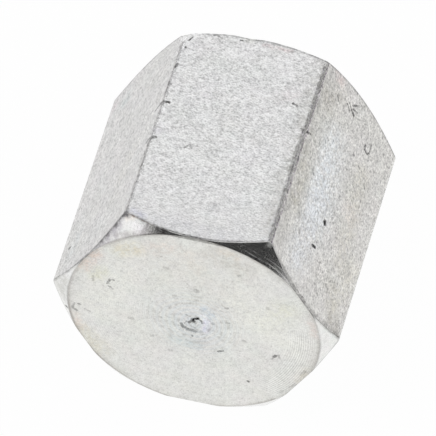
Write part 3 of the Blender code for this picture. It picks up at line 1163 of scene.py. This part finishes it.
chamferValues = {
    "base": paint(238, 238, 236),
    "contrast": 0.5,
    "bump": 7,
    "roughness": 0.2,
    "rougher pits": 0.08,
    "grain": {"Size": 0.13 * mm, "Spread": 0.9 * mm},
    "ragged": {"Size": 0.25 * mm, "Reach": 0.2 * mm},
    "tint": {"Size": 0.9 * mm, "Strength": 0.06},
    "lines": {"Pitch": 0.12 * mm, "Wander": 0.4},
    "line darkness": 0.02,
    "line height": 0.2,
    "ridges": {"Pitch": 0.22 * mm, "Wander": 0.9},
    "ridge tops": (0.5, 1.0),
    "ridge blotches": {"Size": 1.2 * mm, "Low": 0.35, "High": 0.6, "Weak": 0.3},
    "ridges across": (2.6 * mm, 5.2 * mm),
    "ridges outwards": (10.3 * mm, 9.7 * mm),
    "ridge height": 1.3,
    "rougher ridges": 0.16,
    "corner shade line": {"Size": 0.6 * mm, "Low": 0.38, "High": 0.6, "Weak": 0.4, "Strong": 0.9},
    "corner shade darkness": 0.5,
    "rim width": 0.16 * mm,
    "rim colour": paint(120, 112, 106),
    "rim blotches": {"Size": 2.0 * mm, "Low": 0.4, "High": 0.6, "Weak": 0.2, "Strong": 0.4},
}


def turnedChamfer():
    material, shader, place = startMaterial("turnedChamfer")
    values = chamferValues
    closedEnd = onClosedEnd(place)
    ragged = use(uneven, flattened(place), **values["ragged"])
    height, pits, _ = use(grain, place, **values["grain"])
    colour = tinted(values["base"], place, values)
    # painted highlights and painted shade on the closed chamfer, with its patches
    colour = blended(closedEnd, colour, patched(colour, ragged, onFace, chamferHighlightsShadeAndPatches))
    colour = rimmed(colour, place, values)
    # painted shade along the chamfer's corners
    line = attribute(place.tree, "cornerShadeLine") * use(blotches, place, **values["corner shade line"])

    radius = axisRadius(place)
    lines = use(rings, place, Radius=radius, **values["lines"])
    ridges = use(rings, place, Radius=radius, **values["ridges"])
    ridged = ramp(separated(place)[0], *values["ridges across"]) * ramp(radius, *values["ridges outwards"])
    ridged = ridged * ramp(ridges, *values["ridge tops"]) * use(blotches, place, **values["ridge blotches"])
    light = 1 + (height - noiseMiddle) * values["contrast"] - lines * values["line darkness"]
    light = light * (1 - line * values["corner shade darkness"])
    relief = height * values["bump"] + lines * values["line height"] + ridged * values["ridge height"]
    roughness = values["roughness"] + pits * values["rougher pits"] + ridged * values["rougher ridges"]
    roughness = roughness + strongest(ragged, onFace, dullPatches) * closedEnd
    setSurface(shader, scaled(colour, light), roughness, relief)
    return material


threadValues = {
    "base": grey(0.6),
    "pit colour": grey(0.4),
    "darker pits": 0.4,
    "bump": 10,
    "roughness": 0.32,
    "rougher pits": 0.1,
    "grain": {"Size": 0.2 * mm, "Spread": 0.9 * mm},
}


def cutThread():
    material, shader, place = startMaterial("cutThread")
    values = threadValues
    height, pits, _ = use(grain, place, **values["grain"])
    colour = blended(pits * values["darker pits"], values["base"], values["pit colour"])
    setSurface(shader, colour, values["roughness"] + pits * values["rougher pits"], height * values["bump"])
    return material


faced, chamfer, skin, thread = facedEnd(), turnedChamfer(), rolledSkin(), cutThread()
print("finishes made")
cap = makeCap([faced, chamfer, skin, chamfer, faced, thread])
print("cap made,", len(cap.data.polygons), "faces")

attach(cap, "root")
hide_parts("hex_cap")


# Studio

studio = {
    "floor reach": 3.0,
    "paper": grey(0.9),
    "floor glow": 0.975,
    "floor glow in reflections": 0.97,
    "card distance": 1.3,
    "card steps": 24,
    "world": 1.0,
}

cards = {  # azimuths from the front and elevations, in degrees, and colour
    "front_card": ((-33, 60), (0, 35), grey(0.03)),
    "right_back_card": ((95, 165), (2, 25), (0.62, 0.58, 0.67, 1)),
    "dark_right_back_card": ((95, 165), (25, 46), (0.04, 0.036, 0.05, 1)),
    "left_back_card": ((205, 240), (18, 32), grey(0.12)),
    "upper_card": ((120, 260), (62, 80), grey(0.3)),
}

lamps = {  # azimuth, elevation, distance and width in metres, watts
    "front_softbox": (-62, 18, 1.1, 0.35, 0.6),
}


def bareMaterial(name):  # a material with nothing but its output
    material = bpy.data.materials.new(name)
    material.use_nodes = True
    tree = material.node_tree
    tree.nodes.clear()
    return material, tree, put(tree, "ShaderNodeOutputMaterial").inputs["Surface"]


def emissive(name, colour):
    material, tree, surface = bareMaterial(name)
    emission = put(tree, "ShaderNodeEmission", {"Color": colour})
    tree.links.new(emission.outputs[0], surface)
    arrange(tree)
    return material


def makeFloor():
    mesh = bpy.data.meshes.new("floor")
    reach = studio["floor reach"]
    corners = [(-reach, -reach, 0), (reach, -reach, 0), (reach, reach, 0), (-reach, reach, 0)]
    mesh.from_pydata(corners, [], [(0, 1, 2, 3)])
    floor = added("floor", mesh)
    material, tree, surface = bareMaterial("whiteFloor")
    paper = put(tree, "ShaderNodeBsdfDiffuse", {"Color": studio["paper"]})
    glow = put(tree, "ShaderNodeEmission", {"Strength": 1.0})
    path = put(tree, "ShaderNodeLightPath")
    reflected = most(Wire(path.outputs["Is Glossy Ray"]), Wire(path.outputs["Is Transmission Ray"]))
    share = Wire(path.outputs["Is Camera Ray"]) * studio["floor glow"]
    share = most(share, reflected * studio["floor glow in reflections"])
    mixed = put(tree, "ShaderNodeMixShader", {"Fac": share})
    tree.links.new(paper.outputs[0], mixed.inputs[1])
    tree.links.new(glow.outputs[0], mixed.inputs[2])
    tree.links.new(mixed.outputs[0], surface)
    arrange(tree)
    mesh.materials.append(material)


def makeWorld():
    world = bpy.data.worlds.new("studio")
    bpy.context.scene.world = world
    world.use_nodes = True
    tree = world.node_tree
    tree.nodes["Background"].inputs["Color"].default_value = grey(1)
    tree.nodes["Background"].inputs["Strength"].default_value = studio["world"]


def aimedFrom(azimuth, elevation):  # the direction towards a place round the table; azimuth 0 lies towards -Y
    azimuth, elevation = math.radians(azimuth), math.radians(elevation)
    level = math.cos(elevation)
    return Vector((math.sin(azimuth) * level, -math.cos(azimuth) * level, math.sin(elevation)))


def makeCard(name, azimuths, elevations, colour):  # a card that curves round the table
    steps = studio["card steps"]
    points = []
    for step in range(steps + 1):
        azimuth = azimuths[0] + (azimuths[1] - azimuths[0]) * step / steps
        for elevation in elevations:
            away = aimedFrom(azimuth, elevation)
            points.append(away * studio["card distance"] / math.hypot(away.x, away.y))
    faces = [(2 * step, 2 * step + 1, 2 * step + 3, 2 * step + 2) for step in range(steps)]
    mesh = bpy.data.meshes.new(name)
    mesh.from_pydata(points, [], faces)
    card = added(name, mesh)
    card.visible_camera = False
    mesh.materials.append(emissive(name, colour))


def makeLamp(name, azimuth, elevation, distance, width, watts):
    data = bpy.data.lights.new(name, "AREA")
    data.shape = "DISK"
    data.size = width
    data.energy = watts
    lamp = added(name, data)
    away = aimedFrom(azimuth, elevation)
    lamp.location = away * distance + Vector((0, 0, axisHeight))
    lamp.rotation_euler = away.to_track_quat("Z", "Y").to_euler()


view = {  # angles in degrees, lens in mm
    "azimuth": 12.938,
    "elevation": 50.111,
    "roll": 1.383,
    "lens": 728.1,
    "distance": 0.6564,
    "aim": Vector((-0.549, -0.033, 9.575)) * mm,
    "clip": (0.01, 10),
}


def makeCamera():
    forward = -aimedFrom(view["azimuth"], view["elevation"])
    roll = math.radians(view["roll"])
    level = forward.cross(Vector((0, 0, 1))).normalized()
    upright = level.cross(forward)
    right = level * math.cos(roll) + upright * math.sin(roll)
    up = upright * math.cos(roll) - level * math.sin(roll)
    data = bpy.data.cameras.new("camera")
    data.lens = view["lens"]
    data.clip_start, data.clip_end = view["clip"]
    camera = added("camera", data)
    turn = Matrix((right, up, -forward)).transposed().to_4x4()
    camera.matrix_world = Matrix.Translation(view["aim"] - forward * view["distance"]) @ turn
    bpy.context.scene.camera = camera


makeFloor()
makeWorld()
for name, values in cards.items():
    makeCard(name, *values)
for name, values in lamps.items():
    makeLamp(name, *values)
makeCamera()
bpy.context.scene.view_settings.view_transform = "Standard"
print("studio set")
